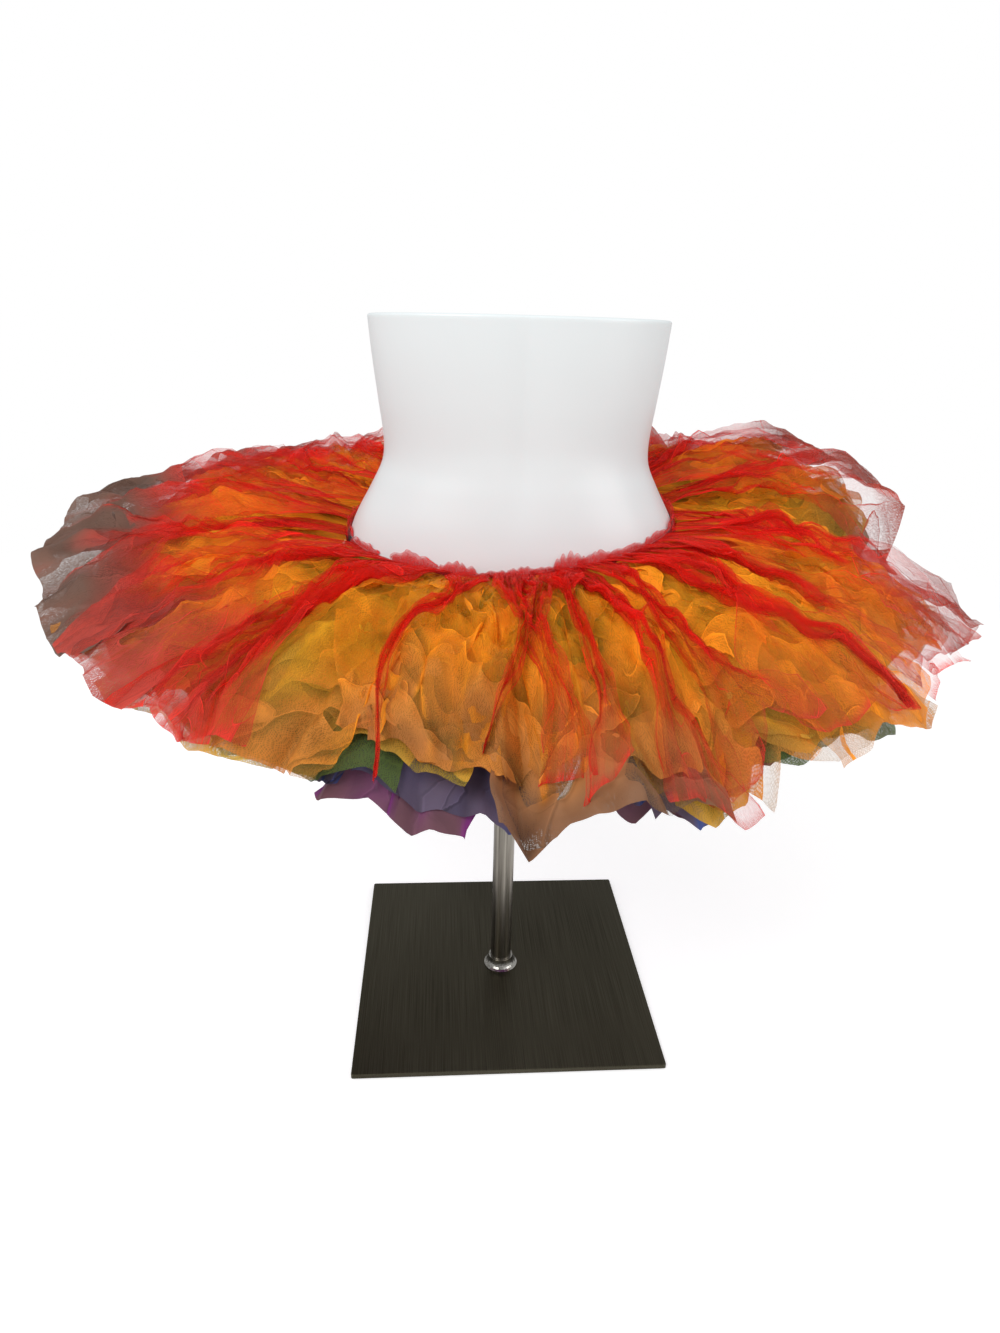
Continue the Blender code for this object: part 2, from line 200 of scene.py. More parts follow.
# ------------------------------------------------------------------ materials
class Nodes:
    """Short names for building a node tree."""

    def __init__(self, name):
        self.mat = bpy.data.materials.new(name)
        self.mat.use_nodes = True
        self.tree = self.mat.node_tree
        self.tree.nodes.clear()
        self.out = self.tree.nodes.new("ShaderNodeOutputMaterial")

    def add(self, kind, values=None, **settings):
        node = self.tree.nodes.new("ShaderNode" + kind)
        for key, value in settings.items():
            setattr(node, key, value)
        for key, value in (values or {}).items():
            if isinstance(value, bpy.types.NodeSocket):
                self.tree.links.new(value, node.inputs[key])
            else:
                node.inputs[key].default_value = value
        return node

    def math(self, operation, a, b=0.0, c=0.0, clamp=False):
        return self.add("Math", {0: a, 1: b, 2: c}, operation=operation,
                        use_clamp=clamp).outputs[0]

    def surface(self, socket):
        self.tree.links.new(socket, self.out.inputs["Surface"])
        return self.mat


NET_PITCH = 0.0014      # tulle holes, metres


def tulle(name, ridge=0.6, layered=0.3, under=0.0, net=0.66, roughness=0.62, translucent=0.24):
    """Sheer net: the fibres' colour and how much of them there is come from the mesh, a fine
    diamond net in the cloth's own metres thins the holes, and a web of small creases thickens
    the net along its ridges, with a painted highlight on each ridge and a painted shade at its
    foot.  Between the creases lie flat facets, some of them doubled, each with a painted shade
    sloping across it and lighter where doubled; where they are single the cloth `under` it
    dulls the colour."""
    n = Nodes(name)
    tone = n.add("VertexColor", layer_name="tone")
    uv = n.add("UVMap", uv_map="cut")
    xy = n.add("SeparateXYZ", {0: uv.outputs["UV"]})
    k = math.pi / NET_PITCH
    bend_x = n.math("MULTIPLY", n.math("SINE", n.math("MULTIPLY", xy.outputs[1], 611.0)), 0.0009)
    bend_y = n.math("MULTIPLY", n.math("SINE", n.math("MULTIPLY", xy.outputs[0], 743.0)), 0.0009)
    across, along = n.math("ADD", xy.outputs[0], bend_x), n.math("ADD", xy.outputs[1], bend_y)
    slip = n.math("MULTIPLY", along, 0.62)
    one, two = n.math("ADD", across, slip), n.math("SUBTRACT", across, slip)
    a, b = (n.math("SINE", n.math("MULTIPLY", q, k)) for q in (one, two))
    hole = n.math("ABSOLUTE", n.math("MULTIPLY", a, b))
    # no two holes of the net are quite as open
    mesh = n.add("CombineXYZ", {0: n.math("FLOOR", n.math("DIVIDE", one, NET_PITCH)),
                                1: n.math("FLOOR", n.math("DIVIDE", two, NET_PITCH))})
    uneven_hole = n.add("TexWhiteNoise", {"Vector": mesh.outputs[0]},
                        noise_dimensions="2D").outputs["Value"]
    thread = n.math("MULTIPLY", n.math("MULTIPLY_ADD", hole, -net, 1 + 0.41 * net),
                    n.math("MULTIPLY_ADD", uneven_hole, 0.54 * net, 1 - 0.27 * net))

    web = n.add("SeparateXYZ", {0: n.add("Attribute", attribute_name="web").outputs["Vector"]})
    lit, floors, slopes = [], [], []
    for family in (0, 1):
        place = web.outputs[family]
        wave = n.math("SINE", n.math("MULTIPLY", place, math.pi))
        lit.append(n.math("MULTIPLY_ADD", n.math("ABSOLUTE", n.math("SUBTRACT", wave, 0.05)),
                          -1 / 0.07, 1.0, clamp=True))
        lit.append(n.math("MULTIPLY_ADD", n.math("ABSOLUTE", n.math("ADD", wave, 0.12)),
                          -1 / 0.16, 1.0, clamp=True))
        floors.append(n.math("FLOOR", place))
        slopes.append(n.math("FRACT", place))
    facet = n.add("CombineXYZ", {0: floors[0], 1: floors[1]})
    chance = n.add("TexWhiteNoise", {"Vector": facet.outputs[0]},
                   noise_dimensions="2D").outputs["Value"]
    # lean: a painted shade sloping across each facet from one crease to the next; through the facet's doubling
    # it also thins and thickens the net across it
    lean = n.math("ADD", n.math("MULTIPLY_ADD", slopes[0], 0.5, -0.25),
                  n.math("MULTIPLY_ADD", slopes[1], 0.5, -0.25))
    doubling_and_slope_shade = n.math("ADD", n.math("MULTIPLY_ADD", chance, 1.0, -0.5), lean)
    doubling_and_slope_shade = n.math("MULTIPLY", doubling_and_slope_shade, n.math("MULTIPLY_ADD", web.outputs[2], 0.9, 0.55))
    # crest: the net is denser along each crease and its colour takes a painted highlight there; foot: a painted
    # shade alongside each crease
    crest = n.math("MULTIPLY", n.math("MAXIMUM", lit[0], lit[2]), web.outputs[2])
    foot = n.math("MULTIPLY", n.math("MAXIMUM", lit[1], lit[3]), web.outputs[2])
    more = n.math("MULTIPLY_ADD", doubling_and_slope_shade, layered, n.math("MULTIPLY_ADD", crest, ridge, 1.0))
    cover = n.math("MULTIPLY", n.math("MULTIPLY", tone.outputs["Alpha"], thread), more, clamp=True)
    # shade: painted highlight on the crests, painted shade at their feet and a painted shade sloping across
    # each facet
    shade = n.math("MULTIPLY_ADD", foot, -0.30, n.math("MULTIPLY_ADD", crest, 0.22, 1.0))
    shade = n.math("MULTIPLY_ADD", doubling_and_slope_shade, 0.24, shade)
    single = n.math("MULTIPLY", doubling_and_slope_shade, -2.0, clamp=True)
    tint = n.add("CombineXYZ", {0: n.math("MULTIPLY", shade, n.math("MULTIPLY_ADD", single, -under, 1.0)),
                                1: n.math("MULTIPLY", shade, n.math("MULTIPLY_ADD", single, -0.4 * under, 1.0)),
                                2: shade})
    # the tone's colour times the painted highlight and painted shade
    dye_with_painted_light = n.add("VectorMath", {0: tone.outputs["Color"], 1: tint.outputs[0]}, operation="MULTIPLY")
    body = n.add("BsdfPrincipled", {"Base Color": dye_with_painted_light.outputs[0], "Roughness": roughness,
                                    "Specular IOR Level": 0.18})
    glow = n.add("BsdfTranslucent", {"Color": dye_with_painted_light.outputs[0]})
    cloth = n.add("MixShader", {"Fac": translucent, 1: body.outputs[0], 2: glow.outputs[0]})
    clear = n.add("BsdfTransparent")
    mix = n.add("MixShader", {"Fac": cover, 1: clear.outputs[0], 2: cloth.outputs[0]})
    return n.surface(mix.outputs[0])


# ------------------------------------------------------------------ tulle strips
def wander(rng, t, count=4, low=0.4, high=2.2):
    """Smooth random curve of t in about -1..1."""
    total = np.zeros_like(t)
    for _ in range(count):
        total += rng.uniform(0.4, 1.0) * np.sin(2 * np.pi * rng.uniform(low, high) * t
                                                + rng.uniform(0, 2 * np.pi))
    return total / (0.55 * count)


def crumples(rng, across, along, count=9, fine=0.016, coarse=0.060):
    """Crisp creases in many directions, each fading along its length, in metres."""
    total = np.zeros_like(across)
    for _ in range(count):
        turn = rng.normal(0, 0.85)
        wave = rng.uniform(fine, coarse)
        bend = 0.5 * wave * wander(rng, along / 0.25 + across / 0.3, 3)
        q = (across * math.cos(turn) + along * math.sin(turn) + bend) / wave + rng.uniform(0, 1)
        ridge = 1 - np.abs(np.mod(q, 1.0) * 2 - 1)
        window = wander(rng, (across * math.sin(turn) - along * math.cos(turn)) / 0.12
                        + (across + along) / 0.3, 3)
        total += wave * (ridge ** 1.3 - 0.4) * np.clip(0.2 + window, 0, 1)
    return 0.30 * total / math.sqrt(count)


def crease_web(rng, across, along, fine=0.030, coarse=0.055, spread=0.9, bend=0.9, crisp=1.0):
    """Where two families of fine creases run over the cloth: a crease wherever the number
    is whole, at an uneven pitch and with bends."""
    made = []
    for _ in range(2):
        turn = rng.uniform(-spread, spread)
        wave = rng.uniform(fine, coarse)
        q = (across * math.cos(turn) + along * math.sin(turn)) / wave
        q = q + bend * wander(rng, (across * math.cos(turn + 0.9) + along * math.sin(turn + 0.9))
                              / 0.09, 4) + (0.9 * bend) * wander(rng, across / 0.10 + along / 0.17, 3)
        made.append(q + 40.0)
    fade = np.clip(0.30 + 1.0 * wander(rng, across / 0.07 + along / 0.09, 4), 0, 1)
    return np.stack(made + [crisp * fade * smooth(0.0, 0.03, along)], axis=2)


def common_drape(spot, share):
    """The folds and creases that all the layers share, as they lie on each other: height
    over the mean line at an azimuth and a share of the way out."""
    near = np.mod(spot, 360)
    at = np.concatenate([FOLDS[-1:, 0] - 360, FOLDS[:, 0], FOLDS[:1, 0] + 360])
    lift = np.concatenate([FOLDS[-1:, 1], FOLDS[:, 1], FOLDS[:1, 1]])
    i = np.clip(np.searchsorted(at, near, side="right") - 1, 0, len(at) - 2)
    t = (near - at[i]) / (at[i + 1] - at[i])
    t = t * t * (3 - 2 * t)
    fold = lift[i] * (1 - t) + lift[i + 1] * t
    size = smooth(0.05, 0.60, share) * (1 - 0.85 * smooth(0.70, 1.0, share))
    crease = crumples(np.random.default_rng(99), np.radians(near) * 0.33, share * 0.27, 14)
    return (0.75 * fold * size + 1.3 * crease * smooth(0.10, 0.40, share)
            * (1 - 0.5 * smooth(0.80, 1.0, share)))


def step_down(azimuth):
    """How far each ring hangs below the one over it at the hem."""
    c = math.cos(math.radians(azimuth))
    return (STEP_FRONT * max(c, 0) ** 2 + STEP_SIDE * (1 - c * c) + STEP_BACK * max(-c, 0) ** 2)


def tulle_strip(rng, azimuth, order, cols, rows, colour, ply, place=0.036, reach_more=0.0,
                height_more=0.0, skew=0.0, width=0.150, slack=1.030, hold=0.22, tucks=(),
                big=0.5, roll=0.0, twist=0.0, slant=0.0, pinch=(0.5, 0.0), curl=(0.0, 0.0),
                sway=0.006, gather=1.0, wave=0.014, dusk=0.6, crumple=1.0, shift=0.0,
                rope=(0.0, 1.0, 1.0), relief=1.0, hem=0.5, veil=1.0,
                web_look=(0.030, 0.055, 0.9, 0.9, 1.0)):
    """One strip, cut flat `width` wide, gathered on the elastic and lying out to the hem.
    The cloth's angle to its own line across the strip gives its cross-section, so the strip
    keeps its flat width however it is folded: close gathers at the band that open by `hold`,
    flat `tucks` (place across, slope, turn, half width, where they close and open), `pinch`
    where the strip draws in, broad folds, and the two raw edges turned over by `curl`.
    The end is cut at a `slant`, one corner lower than the other."""
    az = math.radians(azimuth)
    out = np.array([math.sin(az), -math.cos(az), 0.0])
    side = np.array([math.cos(az), math.sin(az), 0.0])
    up = np.array([0.0, 0.0, 1.0])

    z_in = float(band_middle(azimuth)) + BAND_HEIGHT / 2 - ROOT_DEPTH[order]
    r_in = float(band_snug(azimuth, z_in)) + BAND_THICK + 0.0012 + 0.0006 * order
    aim = azimuth + skew
    r_hem = float(around(HEMLINE, aim, 1)) + reach_more
    z_hem = float(around(HEMLINE, aim, 2)) - step_down(aim) * order + height_more
    target = np.array([r_hem * math.sin(math.radians(aim)), -r_hem * math.cos(math.radians(aim)),
                       z_hem])
    start = out * r_in + up * z_in
    chord = target - start
    run, drop = math.hypot(chord[0], chord[1]), float(chord[2])
    lead = np.array([chord[0], chord[1], 0.0]) / run
    span = math.hypot(run, drop)
    length = span * slack
    # the strip bends along an arc of its own length over that chord
    half = math.sqrt(max(6 * (1 - 1 / slack), 1e-4))
    for _ in range(20):
        half -= ((math.sin(half) / half - 1 / slack)
                 / ((half * math.cos(half) - math.sin(half)) / half ** 2))
    slope = math.atan2(drop, run)

    v = np.linspace(0, 1, rows + 1)
    pitch = slope + half * (1 - 2 * v ** 0.85)
    pitch = pitch + 0.10 * crumple * wander(rng, v, 3) * smooth(0.05, 0.4, v)
    dr, dz = np.cos(pitch), np.sin(pitch)
    r = np.concatenate([[0], np.cumsum((dr[1:] + dr[:-1]) / 2)]) / rows * length
    z = np.concatenate([[0], np.cumsum((dz[1:] + dz[:-1]) / 2)]) / rows * length
    r *= run / r[-1]
    z += (drop - z[-1]) * v
    line = start + np.outer(r, lead) + np.outer(z, up)
    pitch = np.arctan2(np.gradient(z), np.gradient(r))

    u = np.linspace(-0.5, 0.5, cols + 1) * width
    U, V = np.meshgrid(u, v)
    f = U / width
    along = V * length
    # close gathers, tight at the band
    swing = 2.0 * gather * np.exp(-(V / hold) ** 1.4) * (1 + 0.25 * wander(rng, f, 3))
    swing += pinch[1] * np.exp(-((V - pinch[0]) / 0.16) ** 2)
    if rope[0]:
        run_out = rope[0] * (1 + 0.10 * wander(rng, f, 2))
        swing += 2.6 * (1 - smooth(run_out - 0.22, run_out + 0.12, V))
    swing = 2.1 * np.tanh(swing / 2.1 * 1.15)
    phase = (2 * np.pi * (U / wave + 0.55 * wander(rng, V + 0 * U, 3, 0.3, 1.2)
                          + 0.9 * wander(rng, f + 0.25 * V, 3, 0.5, 2.0))
             + rng.uniform(0, 2 * np.pi))
    turn = swing * np.sin(phase)
    # flat tucks
    flip = 1
    for centre, tilt, amount, size, first, last in tucks:
        drift = centre * width + tilt * (V - 0.3) * length + 0.006 * wander(rng, V, 3)
        ease = smooth(first - 0.15, first + 0.10, V) * (1 - smooth(last - 0.22, last + 0.06, V))
        turn += flip * amount * ease * np.exp(-((U - drift) / (size * width / 0.150)) ** 4)
        flip = -flip
    # broad folds
    broad = rng.uniform(0.045, 0.090)
    turn += (big * smooth(0.10, 0.45, V) * np.clip(1 + 0.7 * wander(rng, V + f, 3), 0, 1.7)
             * np.sin(2 * np.pi * (U / broad + rng.uniform(0, 1))
                      + 1.6 * wander(rng, V + 0 * U, 3, 0.3, 1.2)))
    turn += 0.20 * wander(rng, 1.7 * f + 1.3 * V, 4)
    # raw edges turned over
    for sign, amount in ((-1, curl[0]), (1, curl[1])):
        reach = np.clip(1 + 0.6 * wander(rng, V, 3), 0.1, 1.8)
        turn += (sign * amount * smooth(0.5 - 0.10 * reach, 0.5, sign * f)
                 * smooth(0.25, 0.50, V) * (1 - 0.8 * smooth(0.80, 0.98, V)))
    du = width / cols
    mid = (turn[:, 1:] + turn[:, :-1]) / 2
    zero = np.zeros((rows + 1, 1))
    x = np.hstack([zero, np.cumsum(np.cos(mid), axis=1)]) * du
    h = np.hstack([zero, np.cumsum(np.sin(mid), axis=1)]) * du
    x -= x.mean(axis=1, keepdims=True)
    mean_h = h.mean(axis=1, keepdims=True)
    tilt_h = ((x * (h - mean_h)).sum(axis=1, keepdims=True)
              / np.maximum((x * x).sum(axis=1, keepdims=True), 1e-9))
    h = h - mean_h - tilt_h * x
    drawn = (smooth(0.10, 0.30, v) * (1 - smooth(rope[0] - 0.15, rope[0] + 0.20, v)))[:, None]
    drawn = drawn * bool(rope[0])
    calm = 1 - 0.45 * smooth(0.80, 1.0, V)
    h = h * (relief * calm * (0.16 + 0.40 * smooth(0.0, 0.6, V)) * (1 - drawn) + 0.85 * drawn)
    # at the band the strip may only be as wide as its place on the elastic
    ext = x.max(axis=1, keepdims=True) - x.min(axis=1, keepdims=True)
    x = x * (1 - (1 - np.minimum(place / ext, 1)) * np.exp(-(V / 0.09) ** 2))
    packed = np.ones_like(x)
    if rope[0]:
        row = V[:, :1]
        now = x.max(axis=1, keepdims=True) - x.min(axis=1, keepdims=True)
        thin = rope[1] * (1 + 0.35 * wander(rng, row, 3, 0.6, 2.4) + 1.3 * np.exp(-(row / 0.24) ** 2))
        wing = rng.uniform(0.001, 0.0055, 2) * drawn
        wing = wing * np.clip(1 + 0.9 * np.hstack([wander(rng, row, 3), wander(rng, row, 3)]), 0, 2)
        if rope[0] > 1:
            tip = 1 - 0.85 * smooth(0.72, 1.0, row)
            thin, wing = thin * tip, wing * tip
        packed = 1 - (1 - np.minimum(thin / now, 1)) * drawn
        across = x / now
        free = np.clip(np.abs(across) - 0.34, 0, 0.16) / 0.16
        x = x * packed + np.where(across < 0, -wing[:, :1], wing[:, 1:]) * free
        packed = np.where(free > 0, np.maximum(packed, 0.8 * drawn), packed)
        x = x * (1 - (1 - rope[2]) * smooth(rope[0] - 0.15, rope[0] + 0.10, row))
    x = x + sway * wander(rng, V + 0 * U, 3, 0.4, 1.4) * smooth(0.1, 0.5, V)

    small = (0.40 * crumples(rng, U, along) + 0.45 * crumples(rng, U, along, 9, 0.010, 0.026))
    small = crumple * small * smooth(0.05, 0.30, V) * (1 - 0.7 * drawn)
    h += small
    h += 0.0015 * crumple * wander(rng, V * 1.4 + f, 4) * smooth(0.2, 0.7, V)
    # nothing stands up from the band
    h = np.where(V < 0.06, np.minimum(h, 0.0015), h)

    angle = math.radians(roll) * smooth(0, 0.35, V) + math.radians(twist) * smooth(0.45, 1.0, V)
    angle = angle * (1 - 0.7 * smooth(0.80, 1.0, V))
    xa = x * np.cos(angle) - h * np.sin(angle)
    ha = x * np.sin(angle) + h * np.cos(angle)
    across = np.cross(up, lead)
    across = -across if np.dot(across, side) < 0 else across
    blend = smooth(0.0, 0.35, v)[:, None]
    lateral = side * (1 - blend) + across * blend
    lateral /= np.linalg.norm(lateral, axis=1, keepdims=True)
    ahead = np.outer(np.cos(pitch), lead) + np.outer(np.sin(pitch), up)
    normal = np.outer(-np.sin(pitch), lead) + np.outer(np.cos(pitch), up)
    # the end is cut ragged and at a slant, drawn out over the outer half
    extra = (slant * f + 0.0015 * wander(rng, f, 4, 1.0, 3.0)) * smooth(0.45, 1.0, V)
    base = line[:, None, :] + lateral[:, None, :] * xa[:, :, None]
    points = (base + normal[:, None, :] * ha[:, :, None]
              + ahead[:, None, :] * extra[:, :, None])
    # every column's end is brought to the hemline at its own azimuth
    end = base[-1]
    end_az = np.degrees(np.arctan2(end[:, 0], -end[:, 1]))
    far = np.hypot(end[:, 0], end[:, 1])
    want_r = around(HEMLINE, end_az, 1) + reach_more
    want_z = (around(HEMLINE, end_az, 2)
              - np.array([step_down(q) for q in end_az]) * order + height_more)
    ease = smooth(0.30, 1.0, V)
    radial = np.stack([end[:, 0] / far, end[:, 1] / far, 0 * far], axis=1)
    points += ease[:, :, None] * (radial * (want_r - far)[:, None]
                                  + up * (want_z - end[:, 2])[:, None])[None]
    spot = np.degrees(np.arctan2(points[..., 0], -points[..., 1]))
    reach_now = np.hypot(points[..., 0], points[..., 1])
    share = np.clip((reach_now - r_in) / (around(HEMLINE, spot, 1) - r_in), 0, 1)
    points[..., 2] += common_drape(spot, share)

    # fibre on each spot of the laid-down fold: steep flanks carry more of it
    dense = 1 / np.clip(np.abs(np.cos(turn)), 0.30, 1.0)
    dense = (1 + (dense - 1) * smooth(0.0, 0.2, V)) * (1 - drawn) + 1.3 * drawn
    sheer = ply * (1 + 0.9 * np.exp(-(V / 0.25) ** 2) - (0.40 if order == 0 else 0.15) * smooth(0.40, 0.9, V))
    sheer = sheer * (1 + 0.48 * wander(rng, 1.3 * f + 1.9 * V, 5, 0.5, 2.2) * smooth(0.1, 0.4, V))
    sheer = sheer * (1 - (1 - veil) * smooth(0.22, 0.70, V) * (1 - drawn))
    cover = 1 - np.clip(1 - sheer, 0.02, 1) ** dense
    edge = np.minimum(np.abs(U - u[0]), np.abs(U - u[-1]))
    bound = 0.72 if order == 0 else min(ply * 1.6, 0.9)
    cover = np.where(edge < width / cols * 0.9, np.maximum(cover, bound), cover)
    cover = np.where((1 - V) * length < 0.0030, np.maximum(cover, 0.85 * bound), cover)
    if order > 2:
        cover = np.maximum(cover, 1.2 * (1 - smooth(0.84, 0.96, V)))
    if order == 1 and hem > 0.5:
        cover = np.maximum(cover, 1.2 * hem * smooth(0.62, 0.84, V))
    hue = np.array(colour[:3])
    dull = np.array([0.150, 0.090, 0.065])
    early = 0.02 * (dusk > 1.0)
    mix = np.clip(dusk * smooth(0.50 - early, 0.98 - early, V + 0.10 * wander(rng, f + 0.5 * V, 3)),
                  0, 1)[..., None]
    mix = mix * (1 - 0.75 * smooth(1.0, 2.4, dense))[..., None]
    full = 0.86 + 0.16 * min(max(dusk - 0.4, 0.0), 0.5) + 0.22 * (dusk > 1.0) + 0.40 * (order > 3)
    cover = cover + (full - cover) * (cover < full) * np.clip(
        0.9 * veil * mix[..., 0] + hem * smooth(0.74, 0.98, V), 0, 0.95)
    keep = 0.02 if dusk > 1.0 or (order == 1 and hem > 0.5) else 0.10
    tone = hue * (1 - mix) + ((1 - keep) * dull + keep * hue) * mix
    # painted shade: the colour is darkened in the valleys of the small crumples and lightened a little on their
    # tops
    crumple_valley_shade = np.clip(-small / (0.0022 * max(crumple, 0.5)), -0.4, 1)
    tone = tone * (1 + 0.07 * wander(rng, V + f, 3) - 0.26 * crumple_valley_shade)[..., None]
    rgba = np.concatenate([np.clip(tone, 0, 1),
                           np.clip(cover, 0, 2.0 if order > 2 or hem > 0.5 else 0.97)[..., None]], axis=2)
    uv = np.stack([U + width / 2 + shift, along], axis=2)
    web = crease_web(rng, U, along, *web_look)
    return points, uv, rgba, False, web


LAYERS = (
    # name,          colour (linear),        ply,  cols, rows, strips, first azimuth, seed
    ("tulle_red", (0.80, 0.016, 0.008), 0.235, 84, 38, 29, 0.0, 11),
    ("tulle_orange", (1.00, 0.338, 0.011), 0.37, 64, 52, 26, 4.0, 23),
    ("tulle_yellow", (0.90, 0.50, 0.022), 0.50, 60, 32, 24, 3.0, 37),
    ("tulle_green", (0.050, 0.18, 0.020), 0.62, 48, 28, 22, 0.0, 41),
    ("tulle_blue", (0.050, 0.10, 0.36), 0.58, 44, 26, 22, 11.0, 53),
    ("tulle_violet", (0.26, 0.034, 0.26), 0.58, 44, 26, 22, 3.5, 67),
)
SHORTER = (0.000, 0.008, 0.018, 0.029, 0.041, 0.054)
ROOT_DEPTH = (-0.0012, 0.0020, 0.0060, 0.0100, 0.0140, 0.0180)
NODES = ("layer_red", "layer_orange", "layer_yellow", "layer_green", "layer_blue", "layer_violet")

# Where some strips of a ring reach further or hang otherwise than the rest.
UNEVEN = (
    # ring, azimuth, spread, reach, height
    (0, 28, 8, -0.030, 0.012),
    (1, 28, 8, 0.006, 0.000),
    (1, 268, 22, -0.060, 0.004),
    (2, 266, 22, -0.045, 0.004),
    (1, 106, 22, -0.035, 0.002),
    (2, 104, 22, -0.020, 0.002),
    (1, 74, 22, -0.018, 0.002),
    (2, 74, 22, -0.026, 0.002),
    (3, 74, 22, -0.028, 0.002),
    (4, 74, 22, -0.026, 0.002),
    (5, 74, 22, -0.024, 0.002),
    (1, 314, 13, 0.006, 0.003),
    (2, 314, 13, 0.012, 0.006),
    (3, 306, 13, -0.020, 0.010),
    (1, 345, 14, -0.034, 0.024),
    (2, 346, 18, -0.040, 0.036),
    (3, 346, 18, -0.048, 0.040),
    (3, 327, 6, 0.010, -0.014),
    (4, 340, 12, 0.000, 0.019),
    (4, 351, 7, 0.014, -0.020),
    (5, 345, 12, 0.012, 0.018),
    (5, 343, 6, 0.008, -0.010),
    (1, 359, 4, 0.010, 0.001),
    (2, 2, 8, -0.020, 0.022),
    (3, 2, 8, -0.024, 0.022),
    (4, 357, 8, -0.024, 0.022),
    (5, 2, 9, -0.024, 0.024),
    (1, 16, 9, -0.012, 0.020),
    (2, 18, 10, -0.012, 0.026),
    (3, 14, 8, -0.006, 0.020),
    (4, 12, 8, -0.008, 0.010),
)


def uneven(order, azimuth):
    reach = height = 0.0
    for ring, centre, spread, r, h in UNEVEN:
        if ring == order:
            away = (azimuth - centre + 180) % 360 - 180
            reach += r * math.exp(-(away / spread) ** 4)
            height += h * math.exp(-(away / spread) ** 4)
    return reach, height


# The red strips one by one: how long the gathers hold, how far out the strip stays drawn
# into a rope and how thin, which corner of its end hangs out, and how thick a veil it is there.
RED = (
    # azimuth, skew, hold, rope end, rope width, opens to, slant, reach, height, dusk, veil
    (3, -2, 0.30, 0.84, 0.007, 0.24, 0.016, -0.034, 0.012, 0.2, 0.60),
    (12, -6, 0.30, 0.88, 0.004, 0.26, -0.014, -0.018, 0.010, 0.2, 0.50),
    (19, -3, 0.30, 0.82, 0.007, 0.42, 0.010, 0.000, 0.000, 0.4, 0.45),
    (28, -5, 0.28, 0.80, 0.007, 0.50, -0.012, 0.008, 0.000, 0.4, 0.45),
    (37, -3, 0.26, 0.56, 0.009, 0.70, 0.012, -0.006, 0.004, 0.3, 0.40),
    (46, -6, 0.26, 1.50, 0.006, 1.00, 0.012, -0.020, 0.004, 0.2, 0.60),
    (54, -2, 0.26, 0.58, 0.009, 0.75, 0.012, 0.000, 0.000, 0.2, 0.35),
    (62, -6, 0.26, 0.00, 0.000, 1.00, 0.008, -0.008, 0.004, 0.6, 0.40),
    (72, -5, 0.26, 0.52, 0.010, 0.85, -0.010, -0.008, 0.004, 0.75, 0.45),
    (84, -5, 0.24, 0.52, 0.012, 0.90, 0.012, 0.000, 0.000, 0.75, 0.50),
    (98, 2, 0.22, 0.45, 0.024, 0.90, -0.010, -0.004, 0.004, 0.8, 0.60),
    (112, 0, 0.22, 0.00, 0.000, 1.00, 0.012, -0.004, 0.000, 0.9, 0.70),
    (126, -2, 0.22, 0.50, 0.024, 0.90, -0.008, -0.004, 0.000, 0.7, 0.80),
    (141, -2, 0.22, 0.00, 0.000, 1.00, 0.010, -0.004, 0.000, 0.7, 1.00),
    (156, 2, 0.24, 0.50, 0.020, 0.90, -0.010, -0.004, 0.000, 0.6, 1.00),
    (171, -2, 0.24, 0.00, 0.000, 1.00, 0.010, -0.004, 0.000, 0.6, 1.00),
    (186, 3, 0.24, 0.55, 0.020, 0.90, -0.012, -0.004, 0.000, 0.6, 1.00),
    (201, 0, 0.24, 0.00, 0.000, 1.00, 0.010, -0.004, 0.000, 0.6, 1.00),
    (216, 4, 0.24, 0.50, 0.020, 0.90, -0.010, -0.004, 0.000, 0.7, 1.00),
    (231, 4, 0.24, 0.00, 0.000, 1.00, 0.010, -0.004, 0.000, 0.9, 1.00),
    (247, 4, 0.24, 0.00, 0.000, 1.00, -0.008, -0.004, 0.000, 1.2, 1.00),
    (262, 3, 0.24, 0.00, 0.000, 1.00, -0.010, -0.002, 0.000, 1.3, 1.00),
    (277, 2, 0.24, 0.55, 0.020, 0.90, 0.008, -0.002, 0.000, 1.3, 1.00),
    (292, 5, 0.26, 0.00, 0.000, 1.00, -0.010, -0.002, 0.000, 1.1, 1.00),
    (305, 5, 0.28, 0.50, 0.022, 0.90, 0.010, 0.000, 0.000, 0.6, 1.00),
    (315, 7, 0.30, 0.90, 0.024, 0.60, -0.010, 0.000, 0.000, 0.35, 1.00),
    (326, -2, 0.30, 0.84, 0.020, 0.50, -0.010, -0.006, 0.002, 0.3, 1.00),
    (342, -1, 0.30, 1.50, 0.005, 1.00, 0.006, -0.014, 0.004, 0.1, 1.00),
    (355, -1, 0.30, 1.50, 0.007, 1.00, -0.010, -0.060, 0.020, 0.1, 1.00),
)


def random_tucks(rng, count, tight):
    """Flat folds scattered over a strip, most running out from the band."""
    made = []
    for _ in range(count):
        first = rng.choice([0.0, 0.0, rng.uniform(0.2, 0.55)])
        made.append((rng.uniform(-0.45, 0.45), rng.normal(0, 0.13), rng.uniform(2.2, 2.9),
                     rng.uniform(0.0022, 0.0048), first, first + rng.uniform(0.35, tight)))
    return made


CEILING_CELLS = (160, 26)     # round, and out from the band
CEILING_AZIMUTHS = np.linspace(0, 360, 73)
CEILING_INNER = np.array([float(band_inside(q)) for q in CEILING_AZIMUTHS])


